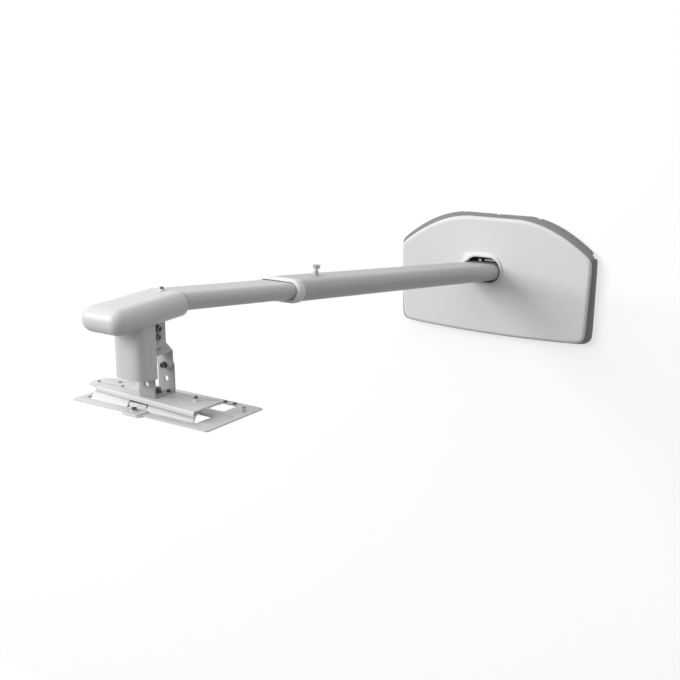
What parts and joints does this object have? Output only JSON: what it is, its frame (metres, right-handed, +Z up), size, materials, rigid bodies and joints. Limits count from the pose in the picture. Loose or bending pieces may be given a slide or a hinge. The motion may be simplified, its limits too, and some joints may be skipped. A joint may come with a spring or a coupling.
{
  "type": "projector wall mount",
  "caption": "Projector wall mount: telescopic oval arm on a wall plate with a moulded cover, and a tilting, rolling and swivelling head over a sliding plate.",
  "frame": {"origin": "centre of the wall plate, on its rear face against the wall", "axes": "+Z up, +Y into the wall, the arm reaches out along -Y"},
  "size_m": [0.466, 1.1695, 0.2719],
  "materials": {
    "cover_plastic": "fine satin, moulded",
    "ring_plastic": "smooth satin",
    "guide_plastic": "smooth",
    "painted_steel": "powder coated, satin",
    "plated_steel": "plated"
  },
  "bodies": {
    "wall_unit": {"wall_plate": "painted_steel", "wall_cover": "cover_plastic", "cover_screws": "plated_steel", "arm_flange": "painted_steel", "flange_bolts": "plated_steel", "outer_arm": "painted_steel", "end_ring": "ring_plastic", "front_guide": "guide_plastic", "clamp_boss": "plated_steel"},
    "thumb_screw": {"clamp_screw": "plated_steel"},
    "inner_arm_and_head": {"inner_arm": "painted_steel", "rear_guide": "guide_plastic", "head_frame": "painted_steel", "head_cover": "cover_plastic", "head_screw": "plated_steel", "column_cover": "cover_plastic", "tilt_bolt": "plated_steel", "tilt_nut": "plated_steel"},
    "tilt_hanger": {"hanger": "painted_steel", "tilt_lock_bolts": "plated_steel", "roll_bolts": "plated_steel", "roll_nuts": "plated_steel"},
    "roll_bracket_unit": {"roll_bracket": "painted_steel", "swivel_bolt": "plated_steel", "swivel_nut": "plated_steel"},
    "slide_plate_unit": {"slide_plate": "painted_steel", "slide_runners": "painted_steel", "slide_stud": "plated_steel", "glide_pads": "guide_plastic", "swivel_lock_screws": "plated_steel"},
    "projector_plate_unit": {"projector_plate": "painted_steel", "slide_lock": "painted_steel", "slide_lock_screw": "plated_steel", "plate_screws": "plated_steel"}
  },
  "joints": [
    {"name": "arm_extend", "type": "slide", "parent": "wall_unit", "child": "inner_arm_and_head", "axis": [0, -0.994, 0.1097], "range_m": [-0.22, 0.15]},
    {"name": "thumb_screw_turn", "type": "hinge", "parent": "wall_unit", "child": "thumb_screw", "pos_m": [-0.026, -0.65818, 0.09298], "axis": [0, 0.1097, 0.994], "range_deg": [0, 720]},
    {"name": "head_tilt", "type": "hinge", "parent": "inner_arm_and_head", "child": "tilt_hanger", "pos_m": [-0.026, -1.073, 0.083], "axis": [1, 0, 0], "range_deg": [-4, 4]},
    {"name": "head_roll", "type": "hinge", "parent": "tilt_hanger", "child": "roll_bracket_unit", "pos_m": [-0.026, -1.05925, 0.02], "axis": [0, 1, 0], "range_deg": [-5, 5]},
    {"name": "plate_swivel", "type": "hinge", "parent": "roll_bracket_unit", "child": "slide_plate_unit", "pos_m": [-0.026, -1.05925, -0.0205], "axis": [0, 0, 1], "range_deg": [-5, 5]},
    {"name": "plate_slide", "type": "slide", "parent": "slide_plate_unit", "child": "projector_plate_unit", "axis": [1, 0, 0], "range_m": [-0.015, 0.015]}
  ]
}
